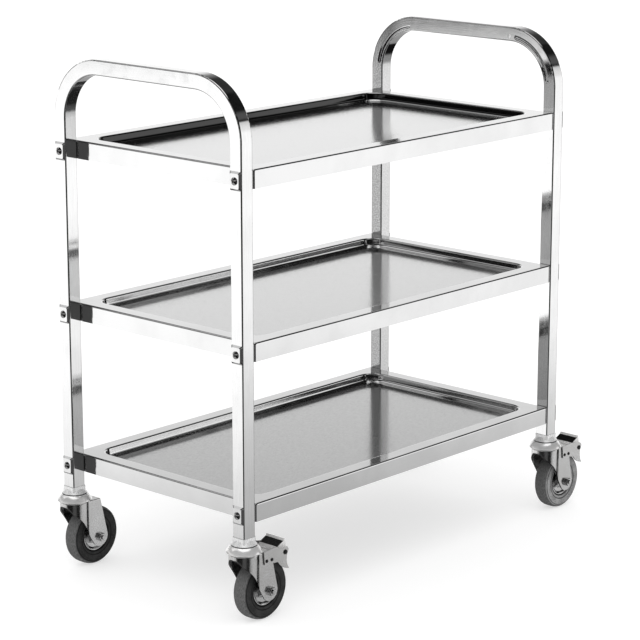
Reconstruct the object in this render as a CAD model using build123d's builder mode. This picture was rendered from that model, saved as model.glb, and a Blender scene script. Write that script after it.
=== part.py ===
from build123d import *
import os
from math import cos, radians, sin

os.makedirs("parts", exist_ok=True)

# Three-tier food service trolley.  Millimetres, +Z up, the floor is Z = 0.
# X runs along the trolley, from the left end frame to the right one, and Y across it.
# The origin is on the floor, under the middle of the frame.

# ---------------------------------------------------------------- driving dimensions
LENGTH = 802.0            # over the outer faces of the two end frames
WIDTH = 420.0             # over the outer faces of the uprights
HEIGHT = 867.0            # floor to the top of the handles
TUBE_END = 134.0          # floor to the open lower end of each upright
SHELF_TOPS = {"bottom": 197.0, "middle": 456.0, "top": 727.0}

TUBE = 25.0               # square tube, across the flats
TUBE_WALL = 1.2
TUBE_CORNER = 2.2
BEND_RADIUS = 87.5        # handle bend, on the tube's centre line
GROOVE_RADIUS = 10.0      # round tool mark that the bender presses into the tube's inward side
GROOVE_DEPTH = 0.9
GROOVE_SHIFT = 4.5        # the mark lies this far inside the tube's centre line
GROOVE_ENDS = (9.0, 81.0)  # where it starts and stops, in degrees round the bend
VENT_RADIUS = 3.0         # vent hole at the start of the front bend
VENT_DROP = 16.5          # below the top of the handle
VENT_SHIFT = 2.0          # past the start of the bend
PLUG_HEAD = 3.9           # radius of the domed plug in the vent hole
PLUG_HEAD_HEIGHT = 1.1
PLUG_DOME = 0.9
PLUG_SHANK = 4.0

SHEET = 1.0               # tray sheet
END_GAP = 0.6             # between a tray's end and the uprights
APRON_HEIGHT = 30.0
APRON_CORNER = 5.0
APRON_FOLD = 2.6          # outer radius where rim and apron meet
LIP_WIDTH = 12.0          # flange turned in under the apron
RIM_WIDTH = 28.0          # flat rim around the recess
POCKET_DEPTH = 14.5
POCKET_CORNER = 30.0
POCKET_EDGE = 3.0         # convex radius where the rim turns down
POCKET_FILLET = 6.0       # concave radius where the wall meets the floor
POCKET_DRAFT = 9.0        # degrees

BOLT_DROP = 15.5          # shelf bolt, below the tray's rim
BOLT_RADIUS = 3.0
BOLT_HEAD_RADIUS = 6.2
BOLT_HEAD_HEIGHT = 3.6
BOLT_CLEARANCE = 0.2
BOLT_HEAD_EDGE = 0.8      # straight rim under the domed head
BOLT_CROWN = 1.0          # flat in the middle of the dome
BOLT_CHAMFER = 0.6
BOLT_TAIL = 2.0           # shank showing beyond the nut
SOCKET_FLATS = 4.0
SOCKET_DEPTH = 2.2
SADDLE_BASE = (24.6, 30.0)   # across and up
SADDLE_FACE = (18.0, 23.6)
SADDLE_HEIGHT = 3.0
SADDLE_SHEET = 1.2
SADDLE_CORNER = 2.4
ANGLE_SHEET = 2.0
ANGLE_LEG = 25.0
ANGLE_HEIGHT = 22.0
NUT_FLATS = 10.0
NUT_HEIGHT = 5.0

PLUG_LENGTH = 30.0
PLUG_WIDTH = TUBE - 2 * TUBE_WALL - 0.1
PLUG_CORNER = 1.0
STEM_RADIUS = 6.0
STEM_RISE = 26.0          # how far the stem stands up inside the tube
STEM_BEVEL = 1.0
FIT = 0.05                # radial clearance of a running or sliding fit
COLLAR_RISE = 10.0        # how far the collar grips up the tube
COLLAR_SHEET = 1.3
COLLAR_FOOT = 3.0         # floor of the collar, under the tube's end
COLLAR_RADIUS = 21.0
COLLAR_FLANGE = 1.2       # thickness of its round edge
COLLAR_CONE = 8.8         # height of its flare
COLLAR_BORE = TUBE + 0.02
HEAD_RADIUS = 29.0        # brim of the swivel head
HEAD_DROP = 10.4          # from the collar down to the brim
HEAD_BRIM = 1.3           # thickness of the brim
HEAD_SHOULDER = 20.5      # radius of its flat top
HEAD_BULGE = (0.6, 0.9)   # how far the dome stands out of a straight cone
BALL_RADIUS = 2.9
BALL_CIRCLE = 18.5
BALL_COUNT = 16
RACE_GAP = 0.6            # between the fixed head and the turning fork
RACE_RING = 23.6
FORK_TOP = 117.4
FORK_SHEET = 2.5
FORK_CUP = 25.0           # round front of the fork, about the stem
FORK_LEG_Y = 22.5         # outer face of each leg
FORK_REAR = 37.0          # rear edge of the crown
FORK_TOE = 16.5           # round end of each leg, about the axle
FORK_CUP_DROP = 6.0       # depth of the cup at its front
FORK_EDGE = ((9, 62.5), (-9, 90.5), (-20, 103.5))  # front edge of the legs, from the toe up to the cup
RIVET_RADIUS = 10.0       # riveted-over end of the stem
RIVET_HEIGHT = 4.0
RIVET_GAP = 0.4           # between it and the fork
RIVET_BEVEL = (3.0, 2.0)  # in and up

TRAIL = 35.0              # axle behind the stem
WHEEL_RADIUS = 50.0
WHEEL_WIDTH = 28.0
HUB_RADIUS = 26.0
HUB_BOSS = 10.5           # radius of the boss round the axle
HUB_HALF = 17.5           # half the boss's length
HUB_DISC = 8.6            # half the thickness of the disc
HUB_RIM = 11.2            # half the width of the rim under the tyre
AXLE_RADIUS = 4.0
AXLE_FLATS = 13.0
SLEEVE_RADIUS = 6.0

BRAKE_PLATE = 2.2
BRAKE_PIN_RADIUS = 3.0
RIVET_SHANK = 1.6
RIVET_PLACES = ((25.5, 102.4), (37.2, 102.2))  # behind the stem and above the floor
BRACKET_FRONT = ((21, 97), (19, 118.5), (46, 120.5), (60, 117.5), (68, 116))
BRACKET_NOSE = ((68, 116), (74.2, 113.6), (75.2, 108))
BRACKET_REAR = ((75.2, 108), (71.2, 95), (77, 78))
BRACKET_HOLLOW = ((77, 78), (62, 83.4), (51, 94.6))
BRIDGE = (42.5, 115.5)    # bar that ties the two plates
BRIDGE_WIDTH = 6.0
RIVET_HEAD = 3.0
RIVET_HEAD_HEIGHT = 1.1
PIN_X = 68.0              # pedal pin, behind the stem
PIN_Z = 107.0
PIN_PROUD = 0.2           # pin past the plates, inside its heads
PIN_HEAD = 4.2
PIN_HEAD_HEIGHT = 1.4
PEDAL_TREAD = (           # section of the tread plate: top from tongue to raised lip, then back underneath
    (48.5, 112.0), (54.5, 117.2), (69.5, 124.2), (71.0, 127.6),
    (73.0, 127.0), (71.4, 122.6), (55.4, 115.2), (49.8, 110.4),
)
PEDAL_HALF = 19.5         # half the pedal's width
PEDAL_SHEET = 2.0
CHEEK_TOP = ((49.2, 111.2), (54.9, 116.2), (70.6, 123.5), (72.6, 126.8), (75.0, 112.0), (74.5, 103.5))
CHEEK_FRONT = ((62.5, 101.0), (60.0, 107.0))
SHOE_GAP = 3.8            # shoe to tyre with the brake off
SHOE_ANGLE = 50.0         # where the shoe meets the tyre, above the horizontal
SHOE_THICKNESS = 3.5
SHOE_SPAN = 17.0
SHOE_WIDTH = 24.0
SHOE_HOLLOW = 1.0         # extra depth that the tyre's curve takes away again
CARRIER_WIDTH = 9.0       # strip behind the shoe

# ---------------------------------------------------------------- worked out from them
FRAME_X = (LENGTH - TUBE) / 2
LEG_Y = (WIDTH - TUBE) / 2
HANDLE_Z = HEIGHT - TUBE / 2
SHELF_LENGTH = LENGTH - 2 * TUBE - 2 * END_GAP
POCKET_LENGTH = SHELF_LENGTH - 2 * RIM_WIDTH
POCKET_WIDTH = WIDTH - 2 * RIM_WIDTH
COLLAR_BASE = TUBE_END - COLLAR_FOOT
HEAD_BASE = FORK_TOP + 1.5 + RACE_GAP
BALL_Z = HEAD_BASE - RACE_GAP / 2
LEG_INSIDE = FORK_LEG_Y - FORK_SHEET
PLATE_Y = FORK_LEG_Y + BRAKE_PLATE
AXLE_Z = WHEEL_RADIUS
VENT_PLACE = (BEND_RADIUS - LEG_Y + VENT_SHIFT, HEIGHT - VENT_DROP)
SIDES = {"left": -1, "right": 1}
CASTERS = {
    "left_front": (-FRAME_X, -LEG_Y, True),
    "right_front": (FRAME_X, -LEG_Y, True),
    "left_back": (-FRAME_X, LEG_Y, False),
    "right_back": (FRAME_X, LEG_Y, False),
}


def save(builder, name):
    """Label a finished sub-part and write it to its own file."""
    builder.part.label = name
    export_step(builder.part, f"parts/{name}.step")


def upright_corners():
    """The four places where an upright stands: side in X, side in Y."""
    return [(sx, sy) for sx in (-1, 1) for sy in (-1, 1)]


# ---------------------------------------------------------------- end frames
def handle_bar(x, size, corner):
    """A solid square bar along the end frame's centre line."""
    with BuildPart() as bar:
        with BuildLine(Plane.YZ.offset(x)):
            FilletPolyline(
                (-LEG_Y, TUBE_END), (-LEG_Y, HANDLE_Z), (LEG_Y, HANDLE_Z), (LEG_Y, TUBE_END),
                radius=BEND_RADIUS,
            )
        with BuildSketch(Plane(origin=(x, -LEG_Y, TUBE_END), z_dir=(0, 0, 1))):
            RectangleRounded(size, size, corner)
        sweep()
    return bar.part


def bend_marks(x, face, extra):
    """Round-ended marks on one side of both bends; extra thickens the tool by the wall."""
    radius = BEND_RADIUS - GROOVE_SHIFT
    tool = GROOVE_RADIUS + extra
    reach = TUBE / 2 + GROOVE_RADIUS - GROOVE_DEPTH
    sweep_angle = GROOVE_ENDS[1] - GROOVE_ENDS[0]
    with BuildPart() as marks:
        for side_y in (-1, 1):
            centre_y = side_y * (LEG_Y - BEND_RADIUS)
            centre_z = HANDLE_Z - BEND_RADIUS
            pivot = Vector(x + face * reach, centre_y, centre_z)
            for angle in GROOVE_ENDS:
                turn = radians(angle)
                end = pivot + Vector(0, side_y * radius * cos(turn), radius * sin(turn))
                with Locations(end):
                    Sphere(tool)
            start = radians(GROOVE_ENDS[0] if side_y > 0 else 180 - GROOVE_ENDS[1])
            across = Vector(0, cos(start), sin(start))
            along = Vector(1, 0, 0).cross(across)
            with BuildSketch(Plane(origin=pivot + across * radius, x_dir=across, z_dir=along)):
                Circle(tool)
            revolve(axis=Axis(pivot, (1, 0, 0)), revolution_arc=sweep_angle)
    return marks.part


for side, sign in SIDES.items():
    frame_x = sign * FRAME_X
    bar_solid = handle_bar(frame_x, TUBE, TUBE_CORNER)
    bore_solid = handle_bar(frame_x, TUBE - 2 * TUBE_WALL, TUBE_CORNER - TUBE_WALL)
    outer_marks = bend_marks(frame_x, -sign, 0)
    inner_marks = bend_marks(frame_x, -sign, TUBE_WALL)

    with BuildPart() as tube_bore:
        add(bore_solid)
        add(inner_marks, mode=Mode.SUBTRACT)

    with BuildPart() as end_frame:
        add(bar_solid)
        add(outer_marks, mode=Mode.SUBTRACT)
        add(tube_bore.part, mode=Mode.SUBTRACT)
        for shelf_top in SHELF_TOPS.values():
            with BuildSketch(Plane.YZ.offset(frame_x)):
                with Locations((-LEG_Y, shelf_top - BOLT_DROP), (LEG_Y, shelf_top - BOLT_DROP)):
                    Circle(BOLT_RADIUS + BOLT_CLEARANCE)
            extrude(amount=TUBE, both=True, mode=Mode.SUBTRACT)
        with BuildSketch(Plane.YZ.offset(frame_x - sign * TUBE / 2)):
            with Locations(VENT_PLACE):
                Circle(VENT_RADIUS)
        extrude(amount=2 * TUBE_WALL, both=True, mode=Mode.SUBTRACT)
    save(end_frame, f"{side}_end_frame")

with BuildPart() as vent_plugs:
    for sign in SIDES.values():
        tube_face = Vector(sign * (FRAME_X - TUBE / 2), *VENT_PLACE)
        with BuildSketch(Plane(origin=tube_face, x_dir=(0, 1, 0), z_dir=(-sign, 0, 0))):
            Circle(PLUG_HEAD)
        extrude(amount=PLUG_HEAD_HEIGHT)
        tip = sign * (FRAME_X - TUBE / 2 - PLUG_HEAD_HEIGHT)
        fillet(vent_plugs.edges().filter_by_position(Axis.X, tip - 0.01, tip + 0.01), PLUG_DOME)
        with BuildSketch(Plane(origin=tube_face, x_dir=(0, 1, 0), z_dir=(sign, 0, 0))):
            Circle(VENT_RADIUS - FIT)
        extrude(amount=PLUG_SHANK)
save(vent_plugs, "vent_plugs")


# ---------------------------------------------------------------- shelves
def tray_form(top, inset):
    """A block with the tray's rim, apron and recess; inset sinks every face by the sheet."""
    with BuildPart() as form:
        with BuildSketch(Plane.XY.offset(top - inset)):
            RectangleRounded(SHELF_LENGTH - 2 * inset, WIDTH - 2 * inset, APRON_CORNER - inset)
        extrude(amount=-APRON_HEIGHT)
        fillet(form.faces().sort_by(Axis.Z)[-1].edges(), APRON_FOLD - inset)
        with BuildSketch(Plane.XY.offset(top - inset)):
            RectangleRounded(POCKET_LENGTH + 2 * inset, POCKET_WIDTH + 2 * inset, POCKET_CORNER + inset)
        extrude(amount=-POCKET_DEPTH, taper=POCKET_DRAFT, mode=Mode.SUBTRACT)
        floor_z = top - inset - POCKET_DEPTH
        fillet(form.edges().filter_by_position(Axis.Z, floor_z - 0.01, floor_z + 0.01), POCKET_FILLET + inset)
        rim = form.faces().sort_by(Axis.Z)[-1]
        fillet(rim.inner_wires()[0].edges(), POCKET_EDGE - inset)
    return form.part


for level, shelf_top in SHELF_TOPS.items():
    upper_form = tray_form(shelf_top, 0)
    lower_form = tray_form(shelf_top, SHEET)
    apron_foot = shelf_top - APRON_HEIGHT

    with BuildPart() as shelf:
        add(upper_form)
        add(lower_form, mode=Mode.SUBTRACT)
        with BuildSketch(Plane.XY.offset(apron_foot)):
            RectangleRounded(SHELF_LENGTH - SHEET, WIDTH - SHEET, APRON_CORNER - SHEET / 2)
            Rectangle(SHELF_LENGTH - 2 * LIP_WIDTH, WIDTH - 2 * LIP_WIDTH, mode=Mode.SUBTRACT)
        extrude(amount=SHEET)
        with BuildSketch(Plane.YZ):
            with Locations((-LEG_Y, shelf_top - BOLT_DROP), (LEG_Y, shelf_top - BOLT_DROP)):
                Circle(BOLT_RADIUS + BOLT_CLEARANCE)
        extrude(amount=LENGTH / 2, both=True, mode=Mode.SUBTRACT)
    save(shelf, f"shelf_{level}")

# ---------------------------------------------------------------- shelf fixings
angle_x = SHELF_LENGTH / 2 - SHEET
angle_y = WIDTH / 2 - SHEET

with BuildPart() as corner_angles:
    for shelf_top in SHELF_TOPS.values():
        bolt_z = shelf_top - BOLT_DROP
        for sx, sy in upright_corners():
            with BuildSketch(Plane.XY.offset(bolt_z - ANGLE_HEIGHT / 2)):
                with BuildLine():
                    Polyline(
                        (sx * angle_x, sy * (angle_y - ANGLE_LEG)),
                        (sx * angle_x, sy * (angle_y - APRON_CORNER)),
                        (sx * (angle_x - APRON_CORNER), sy * angle_y),
                        (sx * (angle_x - ANGLE_LEG), sy * angle_y),
                        (sx * (angle_x - ANGLE_LEG), sy * (angle_y - ANGLE_SHEET)),
                        (sx * (angle_x - APRON_CORNER - 1), sy * (angle_y - ANGLE_SHEET)),
                        (sx * (angle_x - ANGLE_SHEET), sy * (angle_y - APRON_CORNER - 1)),
                        (sx * (angle_x - ANGLE_SHEET), sy * (angle_y - ANGLE_LEG)),
                        close=True,
                    )
                make_face()
            extrude(amount=ANGLE_HEIGHT)
        with BuildSketch(Plane.YZ):
            with Locations((-LEG_Y, bolt_z), (LEG_Y, bolt_z)):
                Circle(BOLT_RADIUS + BOLT_CLEARANCE)
        extrude(amount=LENGTH / 2, both=True, mode=Mode.SUBTRACT)
save(corner_angles, "corner_angles")


def bolt_plane(sx, sy, bolt_z, distance):
    """A plane across a shelf bolt, facing out of the trolley, at that distance from its middle."""
    return Plane(origin=(sx * distance, sy * LEG_Y, bolt_z), x_dir=(0, 1, 0), z_dir=(sx, 0, 0))


def saddle_body(sx, sy, bolt_z, sink):
    """The saddle plate's pillow shape; sink draws its faces in by the sheet."""
    with BuildPart() as pillow:
        with BuildSketch(bolt_plane(sx, sy, bolt_z, LENGTH / 2)):
            RectangleRounded(SADDLE_BASE[0] - 2 * sink, SADDLE_BASE[1] - 2 * sink, SADDLE_CORNER)
        with BuildSketch(bolt_plane(sx, sy, bolt_z, LENGTH / 2 + SADDLE_HEIGHT - sink)):
            RectangleRounded(SADDLE_FACE[0] - 2 * sink, SADDLE_FACE[1] - 2 * sink, SADDLE_CORNER)
        loft()
    return pillow.part


saddle_solids = []
for shelf_top in SHELF_TOPS.values():
    for sx, sy in upright_corners():
        bolt_z = shelf_top - BOLT_DROP
        pillow_outside = saddle_body(sx, sy, bolt_z, 0)
        pillow_inside = saddle_body(sx, sy, bolt_z, SADDLE_SHEET)
        with BuildPart() as saddle:
            add(pillow_outside)
            add(pillow_inside, mode=Mode.SUBTRACT)
            with BuildSketch(bolt_plane(sx, sy, bolt_z, LENGTH / 2)):
                Circle(BOLT_RADIUS + BOLT_CLEARANCE)
            extrude(amount=2 * SADDLE_HEIGHT, mode=Mode.SUBTRACT)
        saddle_solids.append(saddle.part)

with BuildPart() as saddle_plates:
    for solid in saddle_solids:
        add(solid)
save(saddle_plates, "saddle_plates")

with BuildPart() as shelf_bolts:
    head_face = LENGTH / 2 + SADDLE_HEIGHT
    shank = head_face - angle_x + ANGLE_SHEET + NUT_HEIGHT + BOLT_TAIL
    for shelf_top in SHELF_TOPS.values():
        bolt_z = shelf_top - BOLT_DROP
        for sx, sy in upright_corners():
            head_origin = (sx * head_face, sy * LEG_Y, bolt_z)
            with BuildSketch(Plane(origin=head_origin, x_dir=(0, 1, 0), z_dir=(0, 0, -sx))):
                with BuildLine():
                    Polyline(
                        (BOLT_CROWN, BOLT_HEAD_HEIGHT), (0, BOLT_HEAD_HEIGHT), (0, -shank),
                        (BOLT_RADIUS - BOLT_CHAMFER, -shank), (BOLT_RADIUS, BOLT_CHAMFER - shank),
                        (BOLT_RADIUS, 0), (BOLT_HEAD_RADIUS, 0), (BOLT_HEAD_RADIUS, BOLT_HEAD_EDGE),
                    )
                    ThreePointArc(
                        (BOLT_HEAD_RADIUS, BOLT_HEAD_EDGE),
                        (BOLT_HEAD_RADIUS * 0.645, BOLT_HEAD_HEIGHT * 0.725),
                        (BOLT_CROWN, BOLT_HEAD_HEIGHT),
                    )
                make_face()
            revolve(axis=Axis((0, sy * LEG_Y, bolt_z), (1, 0, 0)))
            with BuildSketch(bolt_plane(sx, sy, bolt_z, head_face + BOLT_HEAD_HEIGHT - SOCKET_DEPTH)):
                RegularPolygon(SOCKET_FLATS / 2, 6, major_radius=False)
            extrude(amount=2 * SOCKET_DEPTH, mode=Mode.SUBTRACT)
save(shelf_bolts, "shelf_bolts")

with BuildPart() as shelf_nuts:
    for shelf_top in SHELF_TOPS.values():
        for sx, sy in upright_corners():
            with BuildSketch(bolt_plane(sx, sy, shelf_top - BOLT_DROP, angle_x - ANGLE_SHEET)):
                RegularPolygon(NUT_FLATS / 2, 6, major_radius=False, rotation=30)
                Circle(BOLT_RADIUS, mode=Mode.SUBTRACT)
            extrude(amount=-NUT_HEIGHT)
save(shelf_nuts, "shelf_nuts")


# ---------------------------------------------------------------- caster fixings, on the frame
def revolved(stem, points, arcs=()):
    """Turn a closed (radius, height) outline about a vertical stem; arcs name curved runs."""
    x, y = stem
    with BuildPart() as turned:
        with BuildSketch(Plane(origin=(x, y, 0), x_dir=(1, 0, 0), z_dir=(0, -1, 0))):
            with BuildLine():
                for index, start in enumerate(points):
                    end = points[(index + 1) % len(points)]
                    if index in dict(arcs):
                        ThreePointArc(start, dict(arcs)[index], end)
                    else:
                        Line(start, end)
            make_face()
        revolve(axis=Axis((x, y, 0), (0, 0, 1)))
    return turned.part


with BuildPart() as leg_plugs:
    for sx, sy in upright_corners():
        with BuildSketch(Plane(origin=(sx * FRAME_X, sy * LEG_Y, TUBE_END))):
            RectangleRounded(PLUG_WIDTH, PLUG_WIDTH, PLUG_CORNER)
            Circle(STEM_RADIUS, mode=Mode.SUBTRACT)
        extrude(amount=PLUG_LENGTH)
save(leg_plugs, "leg_plugs")

with BuildPart() as leg_collars:
    for sx, sy in upright_corners():
        post = Plane(origin=(sx * FRAME_X, sy * LEG_Y, COLLAR_BASE))
        with BuildSketch(post):
            RectangleRounded(TUBE + 2 * COLLAR_SHEET, TUBE + 2 * COLLAR_SHEET, TUBE_CORNER + COLLAR_SHEET)
        extrude(amount=COLLAR_FOOT + COLLAR_RISE)
        with BuildSketch(post):
            Circle(COLLAR_RADIUS)
        extrude(amount=COLLAR_FLANGE)
        with Locations((sx * FRAME_X, sy * LEG_Y, COLLAR_BASE + COLLAR_FLANGE)):
            Cone(COLLAR_RADIUS, TUBE / 2, COLLAR_CONE, align=(Align.CENTER, Align.CENTER, Align.MIN))
        with BuildSketch(post.offset(COLLAR_FOOT)):
            RectangleRounded(COLLAR_BORE, COLLAR_BORE, TUBE_CORNER)
        extrude(amount=2 * COLLAR_RISE, mode=Mode.SUBTRACT)
        with BuildSketch(post):
            Circle(STEM_RADIUS + FIT)
        extrude(amount=COLLAR_FOOT, mode=Mode.SUBTRACT)
save(leg_collars, "leg_collars")

with BuildPart() as swivel_balls:
    for stem_x, stem_y, _ in CASTERS.values():
        with Locations((stem_x, stem_y, BALL_Z)):
            with PolarLocations(BALL_CIRCLE, BALL_COUNT):
                Sphere(BALL_RADIUS)
save(swivel_balls, "swivel_balls")


def side_plane(x, y):
    """An upright plane along the trolley through (x, y); its sketch axes are X and Z."""
    return Plane(origin=(x, y, 0), x_dir=(1, 0, 0), z_dir=(0, -1, 0))


def make_caster_stem(name, stem):
    """Threaded stem: grips the leg plug, carries head and fork, riveted over below."""
    rivet_top = FORK_TOP - FORK_SHEET - RIVET_GAP
    rivet_base = rivet_top - RIVET_HEIGHT
    stem_top = TUBE_END + STEM_RISE
    outline = [
        (0, rivet_base), (RIVET_RADIUS - RIVET_BEVEL[0], rivet_base),
        (RIVET_RADIUS, rivet_base + RIVET_BEVEL[1]), (RIVET_RADIUS, rivet_top),
        (STEM_RADIUS, rivet_top), (STEM_RADIUS, stem_top - STEM_BEVEL),
        (STEM_RADIUS - STEM_BEVEL, stem_top), (0, stem_top),
    ]
    turned = revolved(stem, outline)
    with BuildPart() as caster_stem:
        add(turned)
    save(caster_stem, f"caster_{name}_stem")


def make_caster_head(name, stem):
    """Domed swivel head with its brim and the upper ball groove."""
    brim_z = COLLAR_BASE - HEAD_DROP
    outline = [
        (STEM_RADIUS + FIT, HEAD_BASE), (STEM_RADIUS + FIT, COLLAR_BASE), (HEAD_SHOULDER, COLLAR_BASE),
        (HEAD_RADIUS, brim_z), (HEAD_RADIUS - 0.5, brim_z - HEAD_BRIM), (RACE_RING, HEAD_BASE),
    ]
    dome = ((COLLAR_RADIUS + HEAD_RADIUS) / 2 + HEAD_BULGE[0], (COLLAR_BASE + brim_z) / 2 + HEAD_BULGE[1])
    turned = revolved(stem, outline, arcs=((2, dome),))
    with BuildPart() as caster_head:
        add(turned)
        with Locations((stem[0], stem[1], BALL_Z)):
            Torus(BALL_CIRCLE, BALL_RADIUS, mode=Mode.SUBTRACT)
    save(caster_head, f"caster_{name}_head")


# ---------------------------------------------------------------- swivel forks
def make_fork(name, stem, braked):
    """Pressed fork: a round cup in front of the stem that runs back into two straight legs."""
    x, y = stem
    axle_x = x + TRAIL
    reach = TRAIL + FORK_TOE + 1
    toe_z = AXLE_Z - FORK_TOE
    cup_foot = FORK_TOP - FORK_CUP_DROP
    with BuildPart() as fork:
        with BuildSketch(Plane(origin=(x, y, toe_z - 1))):
            Circle(FORK_CUP)
            with Locations((reach / 2, 0)):
                Rectangle(reach, 2 * FORK_LEG_Y)
            Circle(FORK_CUP - FORK_SHEET, mode=Mode.SUBTRACT)
            with Locations((reach / 2 + 1, 0)):
                Rectangle(reach + 2, 2 * LEG_INSIDE, mode=Mode.SUBTRACT)
        extrude(amount=FORK_TOP - toe_z)
        with BuildSketch(Plane(origin=(x, y, FORK_TOP - FORK_SHEET))):
            Circle(FORK_CUP)
            with Locations((reach / 2, 0)):
                Rectangle(reach, 2 * FORK_LEG_Y)
        extrude(amount=FORK_SHEET)
        with BuildSketch(side_plane(x, y)):
            with BuildLine():
                Polyline((-FORK_CUP - 1, cup_foot), (-FORK_CUP - 1, FORK_TOP), (FORK_REAR, FORK_TOP))
                rear = Line((FORK_REAR, FORK_TOP), (TRAIL + FORK_TOE, AXLE_Z + 4))
                toe_front = (TRAIL - FORK_TOE * 0.93, AXLE_Z - FORK_TOE * 0.37)
                toe = ThreePointArc(rear @ 1, (TRAIL, toe_z), toe_front)
                Spline(
                    toe @ 1, *FORK_EDGE, (-FORK_CUP - 1, cup_foot),
                    tangents=[(-0.6, 0.8), (-0.9, 0.3)],
                )
            make_face()
        extrude(amount=2 * FORK_CUP, both=True, mode=Mode.INTERSECT)
        fillet(fork.faces().sort_by(Axis.Z)[-1].edges(), 1.4)
        with BuildSketch(Plane(origin=(x, y, FORK_TOP - 1))):
            Circle(RACE_RING)
        extrude(amount=2.5)
        with Locations((x, y, BALL_Z)):
            Torus(BALL_CIRCLE, BALL_RADIUS + 0.3, mode=Mode.SUBTRACT)
        with BuildSketch(Plane(origin=(x, y, FORK_TOP - 2 * FORK_SHEET))):
            Circle(STEM_RADIUS + FIT)
        extrude(amount=4 * FORK_SHEET, mode=Mode.SUBTRACT)
        with BuildSketch(side_plane(axle_x, y)):
            with Locations((0, AXLE_Z)):
                Circle(AXLE_RADIUS)
        extrude(amount=2 * FORK_CUP, both=True, mode=Mode.SUBTRACT)
        if braked:
            with BuildSketch(side_plane(x, y)):
                with Locations(*RIVET_PLACES):
                    Circle(RIVET_SHANK)
            extrude(amount=2 * FORK_CUP, both=True, mode=Mode.SUBTRACT)
    save(fork, f"caster_{name}_fork")


def make_axle(name, stem):
    """Axle bolt, its nut and the sleeve that keeps the fork's legs apart."""
    axle_x = stem[0] + TRAIL
    far_y = stem[1] + FORK_LEG_Y
    near_y = stem[1] - FORK_LEG_Y
    far_face = side_plane(axle_x, far_y)
    near_face = side_plane(axle_x, near_y)

    with BuildPart() as axle_bolt:
        with BuildSketch(far_face):
            with Locations((0, AXLE_Z)):
                Circle(AXLE_RADIUS)
        extrude(amount=2 * FORK_LEG_Y + 9)
        chamfer(axle_bolt.faces().sort_by(Axis.Y)[0].edges(), 1)
        with BuildSketch(far_face):
            with Locations((0, AXLE_Z)):
                RegularPolygon(AXLE_FLATS / 2, 6, major_radius=False)
        extrude(amount=-5.3)
        chamfer(axle_bolt.faces().sort_by(Axis.Y)[-1].edges(), 0.7)
    save(axle_bolt, f"caster_{name}_axle_bolt")

    with BuildPart() as axle_nut:
        with BuildSketch(near_face):
            with Locations((0, AXLE_Z)):
                RegularPolygon(AXLE_FLATS / 2, 6, major_radius=False)
        extrude(amount=6.5)
        chamfer(axle_nut.faces().sort_by(Axis.Y)[0].edges(), 0.8)
        with BuildSketch(near_face):
            with Locations((0, AXLE_Z)):
                Circle(AXLE_RADIUS)
        extrude(amount=10, mode=Mode.SUBTRACT)
    save(axle_nut, f"caster_{name}_axle_nut")

    with BuildPart() as axle_sleeve:
        with BuildSketch(side_plane(axle_x, stem[1])):
            with Locations((0, AXLE_Z)):
                Circle(SLEEVE_RADIUS)
                Circle(AXLE_RADIUS, mode=Mode.SUBTRACT)
        extrude(amount=LEG_INSIDE, both=True)
    save(axle_sleeve, f"caster_{name}_axle_sleeve")


# ---------------------------------------------------------------- wheels
def wheel_outline(half):
    """Mirror a (offset, radius) half outline to the far side of the wheel."""
    return half + [(-across, radius) for across, radius in reversed(half)]


def turned_about_axle(stem, outline):
    """Turn a closed (offset along the axle, radius) outline about the wheel's axle."""
    axle = Vector(stem[0] + TRAIL, stem[1], AXLE_Z)
    with BuildPart() as turned:
        with BuildSketch(Plane(origin=axle, x_dir=(0, 1, 0), z_dir=(1, 0, 0))):
            with BuildLine():
                Polyline(*outline, close=True)
            make_face()
        revolve(axis=Axis(axle, (0, 1, 0)))
    return turned.part


def make_wheel(name, stem):
    """Metal hub and the rubber tyre moulded onto it."""
    bore = SLEEVE_RADIUS + FIT
    tread = WHEEL_WIDTH / 2
    hub_half = [
        (HUB_HALF, bore), (HUB_HALF, HUB_BOSS - 0.8), (HUB_HALF - 0.8, HUB_BOSS),
        (HUB_DISC + 3, HUB_BOSS + 1.4), (HUB_DISC, HUB_BOSS + 4.5), (HUB_DISC, HUB_RADIUS - 5),
        (HUB_RIM - 0.6, HUB_RADIUS - 2.2), (HUB_RIM, HUB_RADIUS - 1), (HUB_RIM, HUB_RADIUS),
    ]
    tyre_half = [
        (10.0, HUB_RADIUS), (10.0, HUB_RADIUS + 1.8), (12.4, HUB_RADIUS + 3.2), (13.2, HUB_RADIUS + 6.0),
        (12.7, HUB_RADIUS + 7.0), (13.5, HUB_RADIUS + 9.0), (tread, WHEEL_RADIUS - 9.0),
        (tread - 0.4, WHEEL_RADIUS - 5.6), (tread - 1.8, WHEEL_RADIUS - 3.0),
        (tread - 4.0, WHEEL_RADIUS - 1.1), (tread - 7.0, WHEEL_RADIUS - 0.2), (tread - 9.0, WHEEL_RADIUS),
    ]
    hub_solid = turned_about_axle(stem, wheel_outline(hub_half))
    tyre_solid = turned_about_axle(stem, wheel_outline(tyre_half))
    with BuildPart() as wheel_hub:
        add(hub_solid)
    save(wheel_hub, f"caster_{name}_wheel_hub")
    with BuildPart() as tyre:
        add(tyre_solid)
    save(tyre, f"caster_{name}_tyre")


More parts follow.
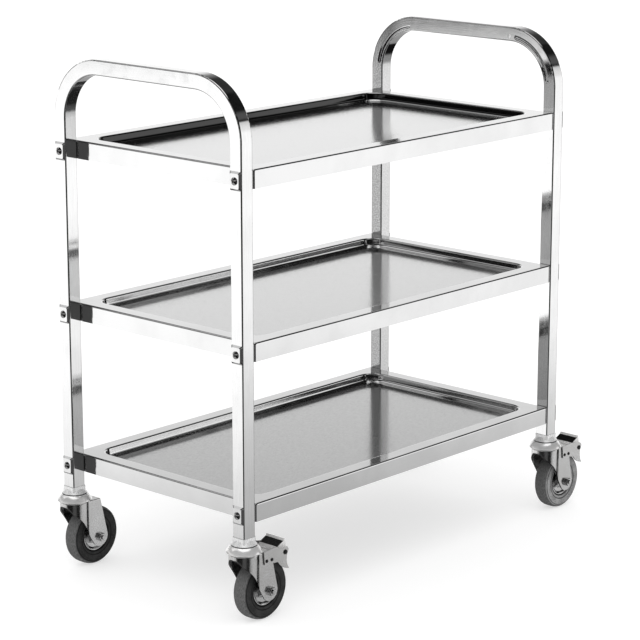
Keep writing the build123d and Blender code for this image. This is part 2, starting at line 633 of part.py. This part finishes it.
# ---------------------------------------------------------------- brakes
def make_brake_bracket(name, stem):
    """Two side plates riveted to the fork's legs, tied by a bridge behind the fork's crown."""
    x, y = stem
    with BuildPart() as bracket:
        for face_y in (y - FORK_LEG_Y, y + PLATE_Y):
            with BuildSketch(side_plane(x, face_y)):
                with BuildLine():
                    Polyline(*BRACKET_FRONT)
                    ThreePointArc(*BRACKET_NOSE)
                    ThreePointArc(*BRACKET_REAR)
                    ThreePointArc(*BRACKET_HOLLOW)
                    Line(BRACKET_HOLLOW[-1], BRACKET_FRONT[0])
                make_face()
                with Locations((PIN_X, PIN_Z)):
                    Circle(BRAKE_PIN_RADIUS, mode=Mode.SUBTRACT)
                with Locations(*RIVET_PLACES):
                    Circle(RIVET_SHANK, mode=Mode.SUBTRACT)
            extrude(amount=BRAKE_PLATE)
        with BuildSketch(side_plane(x, y)):
            with Locations(BRIDGE):
                Rectangle(BRIDGE_WIDTH, BRAKE_PLATE)
        extrude(amount=PLATE_Y, both=True)
    save(bracket, f"brake_{name}_bracket")


def make_brake_rivets(name, stem):
    """Four rivets that hold the bracket's plates to the fork's legs."""
    x, y = stem
    with BuildPart() as rivets:
        for sign in (-1, 1):
            for rivet_x, rivet_z in RIVET_PLACES:
                outer = side_plane(x + rivet_x, y + sign * PLATE_Y)
                with BuildSketch(outer):
                    with Locations((0, rivet_z)):
                        Circle(RIVET_SHANK)
                extrude(amount=sign * (BRAKE_PLATE + FORK_SHEET))
                with BuildSketch(outer):
                    with Locations((0, rivet_z)):
                        Circle(RIVET_HEAD)
                extrude(amount=-sign * RIVET_HEAD_HEIGHT, taper=30)
    save(rivets, f"brake_{name}_rivets")


def make_brake_pin(name, stem):
    """Pin across the bracket that the pedal rocks on."""
    x, y = stem
    with BuildPart() as pin:
        with BuildSketch(side_plane(x, y)):
            with Locations((PIN_X, PIN_Z)):
                Circle(BRAKE_PIN_RADIUS)
        extrude(amount=PLATE_Y + PIN_PROUD, both=True)
        for sign in (-1, 1):
            with BuildSketch(side_plane(x, y + sign * PLATE_Y)):
                with Locations((PIN_X, PIN_Z)):
                    Circle(PIN_HEAD)
            extrude(amount=-sign * PIN_HEAD_HEIGHT, taper=25)
    save(pin, f"brake_{name}_pin")


def shoe_place():
    """Middle of the shoe's working face, behind the stem and above the floor."""
    reach = WHEEL_RADIUS + SHOE_GAP
    turn = radians(SHOE_ANGLE)
    return TRAIL + reach * cos(turn), AXLE_Z + reach * sin(turn)


def make_brake_pedal(name, stem):
    """Rocking pedal: a sloping tread plate, two cheeks on the pin and the shoe's carrier."""
    x, y = stem
    shoe_x, shoe_z = shoe_place()
    with BuildPart() as pedal:
        with BuildSketch(side_plane(x, y)):
            with BuildLine():
                Polyline(*PEDAL_TREAD, close=True)
            make_face()
        extrude(amount=PEDAL_HALF, both=True)
        for cheek_y in (y + PEDAL_HALF, y - PEDAL_HALF + PEDAL_SHEET):
            with BuildSketch(side_plane(x, cheek_y)):
                with BuildLine():
                    Polyline(
                        *CHEEK_TOP, (shoe_x + 3.6, shoe_z + 3), (shoe_x + 0.8, shoe_z + 1.6),
                        *CHEEK_FRONT, close=True,
                    )
                make_face()
            extrude(amount=PEDAL_SHEET)
        with Locations(Location((x + shoe_x, y, shoe_z), (0, 90 - SHOE_ANGLE, 0))):
            with Locations((0, 0, SHOE_THICKNESS + PEDAL_SHEET / 2)):
                Box(CARRIER_WIDTH, 2 * PEDAL_HALF, PEDAL_SHEET)
        with BuildSketch(side_plane(x, y)):
            with Locations((PIN_X, PIN_Z)):
                Circle(BRAKE_PIN_RADIUS + FIT)
        extrude(amount=2 * PEDAL_HALF, both=True, mode=Mode.SUBTRACT)
    save(pedal, f"brake_{name}_pedal")


def make_brake_shoe(name, stem):
    """Rubber shoe with a hollow face that follows the tyre."""
    x, y = stem
    shoe_x, shoe_z = shoe_place()
    with BuildPart() as shoe:
        with Locations(Location((x + shoe_x, y, shoe_z), (0, 90 - SHOE_ANGLE, 0))):
            with Locations((0, 0, (SHOE_THICKNESS - SHOE_HOLLOW) / 2)):
                Box(SHOE_SPAN, SHOE_WIDTH, SHOE_THICKNESS + SHOE_HOLLOW)
        with BuildSketch(side_plane(x + TRAIL, y)):
            with Locations((0, AXLE_Z)):
                Circle(WHEEL_RADIUS + SHOE_GAP)
        extrude(amount=SHOE_WIDTH, both=True, mode=Mode.SUBTRACT)
    save(shoe, f"brake_{name}_shoe")


for caster, (stem_x, stem_y, braked) in CASTERS.items():
    place = (stem_x, stem_y)
    make_caster_stem(caster, place)
    make_caster_head(caster, place)
    make_fork(caster, place, braked)
    make_axle(caster, place)
    make_wheel(caster, place)
    if braked:
        make_brake_bracket(caster, place)
        make_brake_rivets(caster, place)
        make_brake_pin(caster, place)
        make_brake_pedal(caster, place)
        make_brake_shoe(caster, place)
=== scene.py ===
import bpy
from math import radians
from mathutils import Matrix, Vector


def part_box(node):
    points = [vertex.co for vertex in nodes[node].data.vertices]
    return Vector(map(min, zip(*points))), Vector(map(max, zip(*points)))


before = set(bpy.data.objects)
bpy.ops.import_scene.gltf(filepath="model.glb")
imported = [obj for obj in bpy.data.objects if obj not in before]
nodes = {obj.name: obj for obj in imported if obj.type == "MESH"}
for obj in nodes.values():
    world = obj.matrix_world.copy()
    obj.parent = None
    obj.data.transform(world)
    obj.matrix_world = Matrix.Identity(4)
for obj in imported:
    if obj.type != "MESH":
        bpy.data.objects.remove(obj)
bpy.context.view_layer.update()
scene = bpy.context.scene


# ---------------------------------------------------------------- node helpers
class Finish:
    """A node material on one Principled shader, with short calls for its textures."""

    def __init__(self, name, **sockets):
        self.mat = bpy.data.materials.new(name)
        self.mat.use_nodes = True
        self.tree = self.mat.node_tree
        self.shader = self.tree.nodes["Principled BSDF"]
        self.place = self.add("ShaderNodeTexCoord").outputs["Object"]
        for socket, value in sockets.items():
            self.shader.inputs[socket.replace("_", " ")].default_value = value

    def add(self, kind, **settings):
        """New node of a kind, with its settings."""
        node = self.tree.nodes.new(kind)
        for key, value in settings.items():
            setattr(node, key, value)
        return node

    def put(self, socket, value):
        """Link an output to a socket, or write a plain value into it."""
        if isinstance(value, bpy.types.NodeSocket):
            self.tree.links.new(value, socket)
        elif value is not None:
            socket.default_value = value

    def math(self, operation, first, second=None, third=None):
        """One arithmetic step."""
        node = self.add("ShaderNodeMath", operation=operation)
        for socket, value in zip(node.inputs, (first, second, third)):
            self.put(socket, value)
        return node.outputs[0]

    def facing(self):
        """The part's own surface normal, as its three axes."""
        return self.axes(self.add("ShaderNodeTexCoord").outputs["Normal"])

    def axes(self, place=None):
        """The x, y and z of a place, or of the point being shaded."""
        node = self.add("ShaderNodeSeparateXYZ")
        self.put(node.inputs[0], place or self.place)
        return node.outputs

    def length(self, first, second):
        """Distance from the origin of the point (first, second)."""
        squares = [self.math("POWER", value, 2.0) for value in (first, second)]
        return self.math("SQRT", self.math("ADD", *squares))

    def both(self, *factors):
        """Product of several factors."""
        product = factors[0]
        for factor in factors[1:]:
            product = self.math("MULTIPLY", product, factor)
        return product

    def vector(self, x, y, z):
        """A place made of three values."""
        node = self.add("ShaderNodeCombineXYZ")
        for socket, value in zip(node.inputs, (x, y, z)):
            self.put(socket, value)
        return node.outputs[0]

    def stretched(self, scale, turn=(0, 0, 0), place=None):
        """A place scaled by axis, and turned, to draw a texture out into lines."""
        node = self.add("ShaderNodeMapping")
        self.put(node.inputs["Vector"], place or self.place)
        node.inputs["Scale"].default_value = scale
        node.inputs["Rotation"].default_value = turn
        return node.outputs[0]

    def noise(self, scale, detail=3.0, roughness=0.55, place=None):
        """Cloudy texture, about 0.3 to 0.7."""
        node = self.add("ShaderNodeTexNoise")
        self.put(node.inputs["Vector"], place or self.place)
        node.inputs["Scale"].default_value = scale
        node.inputs["Detail"].default_value = detail
        node.inputs["Roughness"].default_value = roughness
        return node.outputs["Fac"]

    def cells(self, scale):
        """Crystal texture."""
        node = self.add("ShaderNodeTexVoronoi")
        self.put(node.inputs["Vector"], self.place)
        node.inputs["Scale"].default_value = scale
        return node.outputs["Distance"]

    def span(self, value, low, high, out_low, out_high):
        """Carry value smoothly from the range low..high to out_low..out_high, clamped."""
        node = self.add("ShaderNodeMapRange", interpolation_type="SMOOTHSTEP")
        for socket, number in zip(node.inputs, (value, low, high, out_low, out_high)):
            self.put(socket, number)
        return node.outputs[0]

    def within(self, value, limits):
        """1 where value reaches the first limit, 0 past the second."""
        whole, gone = limits
        if whole < gone:
            return self.span(value, whole, gone, 1, 0)
        return self.span(value, gone, whole, 0, 1)

    def blend(self, factor, first, second):
        """Mix of two colours, the second at factor 1."""
        node = self.add("ShaderNodeMix", data_type="RGBA")
        for socket, value in zip((node.inputs[0], node.inputs[6], node.inputs[7]), (factor, first, second)):
            self.put(socket, value)
        return node.outputs[2]

    def ramp(self, value, stops):
        """A bent line through (value, level) stops between -1 and 1."""
        node = self.add("ShaderNodeValToRGB")
        self.put(node.inputs[0], self.math("MULTIPLY_ADD", value, 0.5, 0.5))
        points = node.color_ramp.elements
        while len(points) < len(stops):
            points.new(1.0)
        for point, (place, level) in zip(points, stops):
            point.position = place * 0.5 + 0.5
            point.color = (level, level, level, 1.0)
        return node.outputs["Color"]

    def bump(self, height, distance, strength=1.0, under=None):
        """Relief of a height, over another relief if one is given."""
        node = self.add("ShaderNodeBump")
        node.inputs["Strength"].default_value = strength
        node.inputs["Distance"].default_value = distance
        self.put(node.inputs["Height"], height)
        self.put(node.inputs["Normal"], under)
        return node.outputs[0]

    def colour(self, value):
        self.put(self.shader.inputs["Base Color"], value)

    def rough(self, value):
        self.put(self.shader.inputs["Roughness"], value)

    def relief(self, value):
        self.put(self.shader.inputs["Normal"], value)


def grey(value, warm=0.0):
    """A grey of one level, or a little warmer."""
    return (value * (1 + warm), value, value * (1 - warm), 1.0)


def metal(finish, grain, bright, dull, rough, speck, relief):
    """Common build of a bright metal: cloudy tone, fine grain, specks and handling marks."""
    cloud = finish.noise(14.0, 3.0)
    tone = finish.blend(finish.span(cloud, 0.32, 0.68, 0, 1), bright, dull)
    lined = finish.span(grain, 0.40, 0.62, 1, 0)
    tone = finish.blend(finish.math("MULTIPLY", lined, 0.10), tone, grey(0.45))
    specks = finish.span(finish.noise(speck, 2.0), 0.70, 0.78, 0, 0.16)
    finish.colour(finish.blend(specks, tone, grey(0.30)))
    worn = finish.span(finish.noise(38.0, 4.0), 0.45, 0.75, 0, 1)
    base = finish.span(grain, 0.30, 0.70, rough[0], rough[1])
    finish.rough(finish.math("MULTIPLY_ADD", worn, rough[2], base))
    finish.relief(finish.bump(grain, relief))


# ---------------------------------------------------------------- sizes read from the frame
# A pair is where a finish is whole and where it has faded out, in metres.
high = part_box("left_end_frame")[1]
tube = 0.025
bend = 0.0875  # middle radius of the frame's bends
bend_y = high.y - tube / 2 - bend
bend_z = high.z - tube / 2 - bend
shade_patch_x = (0.1, 0.0)  # the upright with painted shade, along and across
shade_patch_y = (0.17, 0.13)
recess_x = 0.353  # edge of a tray's recess, along and across
recess_y = 0.187
recess_fade = 0.001
floor_x = (0.338, 0.346)  # its flat floor
floor_y = (0.172, 0.180)
floor_drop = (0.0135, 0.0115)  # under the rim
foot_shadow_rise = (0.0012, 0.0018)  # a band of painted shadow above a collar's foot
dark_patch_front = (0.0553, 0.0545)  # a near-black patch on a pedal's tread, behind the caster's stem
dark_patch_back = (0.0688, 0.0695)
tread_radius = (0.0478, 0.0452)  # a tyre's tread, and its side walls inside that
groove_shadow_rings = ((0.0447, 0.0008), (0.0334, 0.0010), (0.0275, 0.0016))  # painted shadow in a tyre's grooves: radius and half width


def painted_shade_film(finish, x, y, shade):
    """Painted shade: the inward faces of the right frame's far upright get a duller, mottled tone."""
    along, across = (finish.math("MULTIPLY", part, -1.0) for part in finish.facing()[:2])
    lengthwise = finish.span(along, 0.5, 0.9, 0, 1)
    crosswise = finish.span(across, 0.5, 0.9, 0, 0.45)
    inward = finish.math("MAXIMUM", lengthwise, crosswise)
    # painted shade on the far upright's inward faces
    faced = finish.both(inward, finish.within(x, shade_patch_x), finish.within(y, shade_patch_y))
    mottle = finish.span(finish.noise(420.0, 3.0, 0.7), 0.3, 0.7, 0.24, 0.50)
    painted_shade_tone = finish.blend(mottle, grey(0.0), grey(1.0))
    return finish.blend(faced, grey(shade), painted_shade_tone)


def tube_finish():
    """Polished tube whose polishing lines run along it, round the bends as well."""
    finish = Finish("polished_tube", Metallic=1.0)
    x, y, z = finish.axes()
    side = finish.math("MAXIMUM", finish.math("SUBTRACT", finish.math("ABSOLUTE", y), bend_y), 0.0)
    rise = finish.math("MAXIMUM", finish.math("SUBTRACT", z, bend_z), 0.0)
    across = finish.length(side, rise)
    along = finish.math("MULTIPLY", finish.math("ADD", y, z), 0.03)
    place = finish.vector(x, across, along)
    grain = finish.noise(900.0, 3.0, 0.6, place)
    # the tube's tones carry painted shade on one upright's inward faces
    bright = painted_shade_film(finish, x, y, 0.92)
    dull = painted_shade_film(finish, x, y, 0.86)
    metal(finish, grain, bright, dull, (0.035, 0.085, 0.05), 260.0, 0.000004)
    return finish.mat


def recess_edge(finish, x, y):
    """How far outside its recess a point of a tray lies, 0 or less within it."""
    along = finish.math("SUBTRACT", finish.math("ABSOLUTE", x), recess_x)
    across = finish.math("SUBTRACT", finish.math("ABSOLUTE", y), recess_y)
    return finish.math("MAXIMUM", along, across)


def tray_finish(name, level, shade, coarse, wall_painted_shade):
    """Pressed tray: clean bright rim, lightly brushed and scuffed floor in a painted shade given per tray,
    walls darkened by painted shade or not.
    """
    finish = Finish(name, Metallic=1.0)
    x, y, z = finish.axes()
    floor = finish.both(
        finish.within(z, [level - drop for drop in floor_drop]),
        finish.within(finish.math("ABSOLUTE", y), floor_y),
        finish.within(finish.math("ABSOLUTE", x), floor_x))
    grain = finish.noise(1.0, 4.0, 0.65, finish.stretched((26, 1500, 1500)))
    fibre = finish.noise(1.0, 3.0, 0.6, finish.stretched((160, 900, 900)))
    cloud = finish.noise(7.0, 4.0, 0.6)
    scuff = finish.noise(1.0, 2.0, 0.5, finish.stretched((18, 420, 60), (0, 0, radians(24))))
    scratch = finish.noise(1.0, 2.0, 0.5, finish.stretched((420, 14, 60), (0, 0, radians(-31))))
    scuff = finish.span(scuff, 0.70, 0.76, 0, 1)
    scratch = finish.span(scratch, 0.71, 0.77, 0, 1)
    marks = finish.both(finish.math("MAXIMUM", scuff, scratch), floor)
    tone = finish.blend(finish.span(cloud, 0.35, 0.65, 0, 1), grey(0.84), grey(0.78))
    # the floor's tone is painted shade, given per tray and darker on lower trays
    satin_and_shade = finish.blend(finish.span(fibre, 0.35, 0.65, 0, 1), grey(shade), grey(shade * (1 - coarse)))
    upright = finish.math("ABSOLUTE", finish.facing()[2])
    inside = finish.within(recess_edge(finish, x, y), (0.0, recess_fade))
    # painted shade: steep walls inside the recess are darkened towards near-black, by an amount given per
    # tray
    wall = finish.both(finish.span(upright, 0.55, 0.85, wall_painted_shade, 0), inside)
    tone = finish.blend(wall, tone, grey(0.02))
    tone = finish.blend(floor, tone, satin_and_shade)
    finish.colour(finish.blend(finish.math("MULTIPLY", marks, 0.25), tone, grey(0.92)))
    rim_rough = finish.span(grain, 0.3, 0.7, 0.04, 0.09)
    floor_rough = finish.span(fibre, 0.3, 0.7, 0.10, 0.17)
    mixed = finish.math("MULTIPLY_ADD", floor, finish.math("SUBTRACT", floor_rough, rim_rough), rim_rough)
    finish.rough(finish.math("MULTIPLY_ADD", marks, 0.12, mixed))
    under = finish.bump(grain, 0.000005)
    finish.relief(finish.bump(finish.math("MULTIPLY", fibre, floor), 0.00002 * (1 + 3 * coarse), 0.6, under))
    return finish.mat


def pressed_finish(name, bright, dull, rough, metallic=1.0, foot=0.0):
    """Small polished pressing with faint drawing lines; a band of painted shadow darkens its foot if one is
    given.
    """
    finish = Finish(name, Metallic=metallic)
    grain = finish.noise(1.0, 3.0, 0.6, finish.stretched((900, 900, 120)))
    foot_shadow = finish.within(finish.axes()[2], [foot + rise for rise in foot_shadow_rise])
    tones = [finish.blend(foot_shadow, grey(tone), grey(0.01)) for tone in (bright, dull)]
    metal(finish, grain, *tones, rough, 500.0, 0.000006)
    return finish.mat


def dark_tread_patch(finish, stem_x):
    """A near-black patch on the sloping part of a pedal's tread."""
    behind = finish.math("SUBTRACT", finish.axes()[0], stem_x)
    ends = finish.both(finish.within(behind, dark_patch_front), finish.within(behind, dark_patch_back))
    return finish.both(ends, finish.span(finish.facing()[2], 0.3, 0.5, 0, 1))


def zinc_finish(name, bright, dull, rough, metallic=1.0, underside_painted_shade=0.0, stem_x=None):
    """Bright zinc plate: crystals, tiny pits and a cold tint; faces turned downward are darkened with painted
    shade.

    With the place of a caster's stem it's for that caster's pedal, which gets a near-black patch on its
    tread.
    """
    finish = Finish(name, Metallic=metallic)
    crystals = finish.cells(420.0)
    grain = finish.noise(650.0, 4.0, 0.6)
    mixed = finish.math("MULTIPLY_ADD", crystals, 0.35, grain)
    # painted shade: faces turned downward are darkened
    underside_shade = finish.span(finish.facing()[2], -0.45, -0.15, underside_painted_shade, 0)
    mottle = finish.span(finish.noise(560.0, 4.0, 0.75), 0.36, 0.64, 0, 1)
    spotted = finish.blend(mottle, grey(dull * 0.88, 0.01), (bright, bright * 1.005, bright * 1.015, 1))
    tones = [finish.blend(underside_shade, tone, grey(0.03)) for tone in (spotted, grey(dull, 0.01))]
    if stem_x is not None:
        tones = [finish.blend(dark_tread_patch(finish, stem_x), tone, grey(0.006)) for tone in tones]
    metal(finish, mixed, *tones, rough, 700.0, 0.000020)
    return finish.mat


def hub_finish():
    """Cast wheel centre with a coarse, dull sheen."""
    finish = Finish("wheel_hub_metal", Metallic=1.0)
    grain = finish.noise(500.0, 4.0, 0.6)
    metal(finish, grain, grey(0.86), grey(0.76), (0.10, 0.20, 0.10), 420.0, 0.000015)
    return finish.mat


def tyre_finish(name, axle, dark, worn):
    """Grey rubber: darker moulded side walls, a paler dusty tread with scuffs, near-black rings of painted
    shadow at the grooves.
    """
    finish = Finish(name, Metallic=0.0, IOR=1.52)
    finish.shader.inputs["Specular IOR Level"].default_value = 0.12
    x, y, z = finish.axes()
    dx = finish.math("SUBTRACT", x, axle.x)
    dz = finish.math("SUBTRACT", z, axle.z)
    radius = finish.length(dx, dz)
    turn = finish.math("ARCTAN2", dz, dx)
    across = finish.math("SUBTRACT", y, axle.y)
    wall = finish.vector(finish.math("MULTIPLY", turn, 0.05), across, radius)
    fine = finish.noise(1400.0, 3.0, 0.6)
    cloud = finish.noise(60.0, 4.0, 0.6)
    rings = finish.noise(1.0, 2.0, 0.5, finish.stretched((60, 900, 1400), place=wall))
    tread = finish.within(radius, tread_radius)
    scuff = finish.noise(1.0, 3.0, 0.6, finish.stretched((240, 1100, 200), place=wall))
    side_tone = finish.blend(finish.span(cloud, 0.35, 0.7, 0, 1), grey(dark), grey(dark * 2.4))
    speckle = finish.span(finish.noise(520.0, 3.0, 0.7), 0.40, 0.66, 0, 0.6)
    side_tone = finish.blend(speckle, side_tone, grey(dark * 3.2))
    side_tone = finish.blend(finish.span(rings, 0.52, 0.72, 0, 0.5), side_tone, grey(dark * 3.0))
    tread_tone = finish.blend(finish.span(scuff, 0.35, 0.65, 0, 1), grey(worn), grey(worn * 2.0))
    tone = finish.blend(tread, side_tone, tread_tone)
    # painted shadow: near-black rings at the grooves
    for middle, half in groove_shadow_rings:
        away = finish.math("ABSOLUTE", finish.math("SUBTRACT", radius, middle))
        tone = finish.blend(finish.span(away, half * 0.5, half, 0.85, 0), tone, grey(0.006))
    finish.colour(tone)
    finish.rough(finish.span(fine, 0.3, 0.7, 0.50, 0.74))
    under = finish.bump(fine, 0.00006, 0.7)
    finish.relief(finish.bump(finish.math("MULTIPLY", scuff, tread), 0.00025, 0.5, under))
    return finish.mat


def soft_black(name, tone):
    """Moulded black rubber or plastic with a fine grain."""
    finish = Finish(name, Metallic=0.0)
    fine = finish.noise(1500.0, 3.0)
    cloud = finish.noise(120.0, 3.0)
    finish.colour(finish.blend(finish.span(cloud, 0.35, 0.7, 0, 1), grey(tone), grey(tone * 2.0)))
    finish.rough(finish.span(fine, 0.3, 0.7, 0.45, 0.75))
    finish.relief(finish.bump(fine, 0.00008, 0.6))
    return finish.mat


def give(name, material):
    """Put one material on a node, in place of its own."""
    mesh = nodes[name].data
    mesh.materials.clear()
    mesh.materials.append(material)


tube_metal = tube_finish()
for name in ("left_end_frame", "right_end_frame"):
    give(name, tube_metal)

trays = (  # name, tone of the floor as painted shade (darker on lower trays), coarseness of the floor, painted shade of the walls
    ("shelf_top", 0.80, 0.03, 0.94),
    ("shelf_middle", 0.76, 0.05, 0.0),
    ("shelf_bottom", 0.66, 0.12, 0.0),
)
for name, shade, coarse, wall_painted_shade in trays:
    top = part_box(name)[1].z
    give(name, tray_finish(f"{name}_sheet", top, shade, coarse, wall_painted_shade))

saddle_metal = pressed_finish("saddle_steel", 0.88, 0.80, (0.05, 0.10, 0.05))
collar_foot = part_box("leg_collars")[0].z
# the collars' foot gets a band of painted shadow
collar_metal = pressed_finish("collar_steel", 0.84, 0.78, (0.22, 0.32, 0.08), 0.40, collar_foot)
bolt_metal = zinc_finish("bolt_zinc", 0.88, 0.76, (0.05, 0.12, 0.05))
dark_metal = zinc_finish("rivet_black", 0.05, 0.04, (0.30, 0.45, 0.10))
head_metal = zinc_finish("head_zinc", 0.96, 0.99, (0.12, 0.20, 0.08), metallic=0.62)
fitting_metal = zinc_finish("fitting_zinc", 0.66, 0.56, (0.22, 0.34, 0.10))
# the caster plates get painted shade on their undersides
plate_metal = zinc_finish("caster_zinc", 0.90, 0.74, (0.09, 0.18, 0.10), underside_painted_shade=0.95)
ball_metal = pressed_finish("ball_steel", 0.80, 0.76, (0.06, 0.10, 0.04))
hub_metal = hub_finish()
shoe_rubber = soft_black("shoe_rubber", 0.018)
plug_plastic = soft_black("plug_plastic", 0.014)
vent_plastic = soft_black("vent_plastic", 0.42)

give("saddle_plates", saddle_metal)
give("leg_collars", collar_metal)
give("shelf_bolts", bolt_metal)
give("shelf_nuts", fitting_metal)
give("corner_angles", fitting_metal)
give("leg_plugs", plug_plastic)
give("swivel_balls", ball_metal)
give("vent_plugs", vent_plastic)
for caster in ("left_front", "right_front", "left_back", "right_back"):
    give(f"caster_{caster}_stem", bolt_metal)
    give(f"caster_{caster}_head", head_metal)
    give(f"caster_{caster}_fork", plate_metal)
    give(f"caster_{caster}_axle_bolt", bolt_metal)
    give(f"caster_{caster}_axle_nut", bolt_metal)
    give(f"caster_{caster}_axle_sleeve", bolt_metal)
    give(f"caster_{caster}_wheel_hub", hub_metal)
    wheel_low, wheel_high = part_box(f"caster_{caster}_tyre")
    axle = (wheel_low + wheel_high) / 2
    # the right front tyre gets much paler side walls and a slightly darker tread than the others
    paler_walled = caster == "right_front"
    tones = (0.12, 0.06) if paler_walled else (0.015, 0.068)
    give(f"caster_{caster}_tyre", tyre_finish(f"tyre_{caster}", axle, *tones))
for caster in ("left_front", "right_front"):
    give(f"brake_{caster}_bracket", plate_metal)
    give(f"brake_{caster}_rivets", dark_metal)
    give(f"brake_{caster}_pin", dark_metal)
    stem_low, stem_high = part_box(f"caster_{caster}_stem")
    stem_x = (stem_low.x + stem_high.x) / 2
    pedal_metal = zinc_finish(f"pedal_{caster}", 0.90, 0.84, (0.14, 0.24, 0.08), 0.45, 0.9, stem_x)
    give(f"brake_{caster}_pedal", pedal_metal)
    give(f"brake_{caster}_shoe", shoe_rubber)


# ---------------------------------------------------------------- floor
bpy.ops.mesh.primitive_circle_add(vertices=96, radius=40, fill_type="NGON", location=(0, 0, -0.0004))
floor = bpy.context.object
floor.name = "studio_floor"
paper = Finish("floor_paper", Metallic=0.0, Roughness=0.95)
paper.shader.inputs["Specular IOR Level"].default_value = 0.1
paper.colour(paper.blend(paper.span(paper.noise(1.3, 2.0), 0.35, 0.65, 0, 1), grey(0.55), grey(0.54)))
paper.shader.inputs["Emission Color"].default_value = grey(1.0)
paper.shader.inputs["Emission Strength"].default_value = 0.56
floor.data.materials.append(paper.mat)
floor.visible_glossy = False


# ---------------------------------------------------------------- studio light
world = bpy.data.worlds.new("studio")
scene.world = world
world.use_nodes = True
studio = Finish.__new__(Finish)
studio.tree = world.node_tree
background = studio.tree.nodes["Background"]
studio.place = studio.add("ShaderNodeTexCoord").outputs["Generated"]


def toward(direction):
    """How nearly, from -1 to 1, a ray's level heading points along a compass direction."""
    level = studio.add("ShaderNodeVectorMath", operation="MULTIPLY")
    studio.put(level.inputs[0], studio.place)
    level.inputs[1].default_value = (1, 1, 0)
    unit = studio.add("ShaderNodeVectorMath", operation="NORMALIZE")
    studio.put(unit.inputs[0], level.outputs[0])
    dot = studio.add("ShaderNodeVectorMath", operation="DOT_PRODUCT")
    studio.put(dot.inputs[0], unit.outputs[0])
    dot.inputs[1].default_value = Vector(direction).normalized()
    return dot.outputs["Value"]


height = studio.axes()[2]
ahead = toward((-0.81, -0.585, 0))
side = toward((-0.585, 0.81, 0))
left = studio.span(side, -0.4, 0.4, 0, 1)
# only mirror reflections see what follows; other rays see one pale grey
# pale floor and back wall: brightest along the horizon, dimmer underfoot and overhead
sunk = studio.math("MULTIPLY_ADD", left, 0.034, height)
rise = studio.blend(studio.span(height, -0.05, 0.05, 0, 1), sunk, height)
backdrop = studio.ramp(rise, (
    (-1.0, 0.28), (-0.50, 0.30), (-0.345, 0.34), (-0.31, 0.46), (-0.275, 0.66), (-0.245, 0.92), (-0.18, 1.0),
    (0.09, 0.98), (0.16, 0.80), (0.227, 0.74), (0.286, 0.64), (0.42, 0.22), (0.57, 0.03), (1.0, 0.02)))
# dark room on the near side: from just under the horizon, from lower still straight ahead, and on
# the right only from well above the horizon
edge = studio.ramp(ahead, (
    (-1.0, 0.857), (0.31, 0.857), (0.36, 0.75), (0.55, 0.70),
    (0.64, 0.64), (0.70, 0.40), (0.80, 0.0), (1.0, 0.0)))
over = studio.math("SUBTRACT", height, studio.math("SUBTRACT", edge, 1.0))
lift = studio.both(studio.span(side, -0.80, -0.60, 0.45, 0), studio.span(ahead, 0.0, 0.2, 1, 0))
over = studio.math("SUBTRACT", over, lift)
room = studio.both(studio.span(over, 0.0, 0.035, 0, 1), studio.span(ahead, -0.78, -0.45, 0, 1))
flag = studio.span(toward((0.956, -0.292, 0)), 0.965, 0.985, 0, 1)
dark = studio.math("MAXIMUM", room, flag)
# lights in the dark room: a low screen and a lamp on the left, a strip all round, a bank overhead
# and a faint fill straight ahead, under the horizon
screen = studio.both(studio.span(height, 0.098, 0.118, 0, 0.40), studio.span(height, 0.24, 0.34, 1, 0), left)
strip = studio.both(studio.span(height, 0.33, 0.40, 0, 0.06), studio.span(height, 0.46, 0.54, 1, 0))
lamp_glow = studio.both(
    studio.span(toward((-0.342, 0.94, 0)), 0.93, 0.97, 0, 0.55), studio.span(height, 0.52, 0.60, 0, 1))
bank = studio.math("MAXIMUM", lamp_glow, studio.span(height, 0.89, 0.93, 0, 1))
fill = studio.both(
    studio.span(toward((-0.682, -0.731, 0)), 0.955, 0.985, 0, 0.055), studio.span(height, -0.08, -0.03, 1, 0))
unlit = studio.math("ADD", studio.math("MAXIMUM", studio.math("MAXIMUM", screen, strip), fill), 0.006)
backdrop = studio.both(backdrop, studio.math("MULTIPLY_ADD", left, 0.09, 0.91))
seen = studio.blend(dark, backdrop, unlit)
seen = studio.blend(bank, seen, grey(1.0))
path = studio.add("ShaderNodeLightPath")
studio.put(background.inputs["Color"], studio.blend(path.outputs["Is Glossy Ray"], grey(0.84), seen))
background.inputs["Strength"].default_value = 1.22

lamp = bpy.data.lights.new("soft_key", "AREA")
lamp.shape = "DISK"
lamp.size = 2.4
lamp.energy = 22.0
key = bpy.data.objects.new("soft_key", lamp)
scene.collection.objects.link(key)
key.location = (-2.2, -1.0, 3.2)
key.rotation_euler = (Vector((0, 0, 0.4)) - key.location).to_track_quat("-Z", "Y").to_euler()
key.visible_glossy = False

# ---------------------------------------------------------------- camera
lens = bpy.data.cameras.new("camera")
lens.sensor_width = 36.0
lens.lens = 137.9
lens.clip_start = 0.05
lens.clip_end = 200.0
camera = bpy.data.objects.new("camera", lens)
scene.collection.objects.link(camera)
camera.location = (-3.005, -2.747, 1.389)
camera.rotation_euler = (radians(90 - 13.78), 0.0, radians(-47.61))
scene.camera = camera
scene.view_settings.view_transform = "Standard"
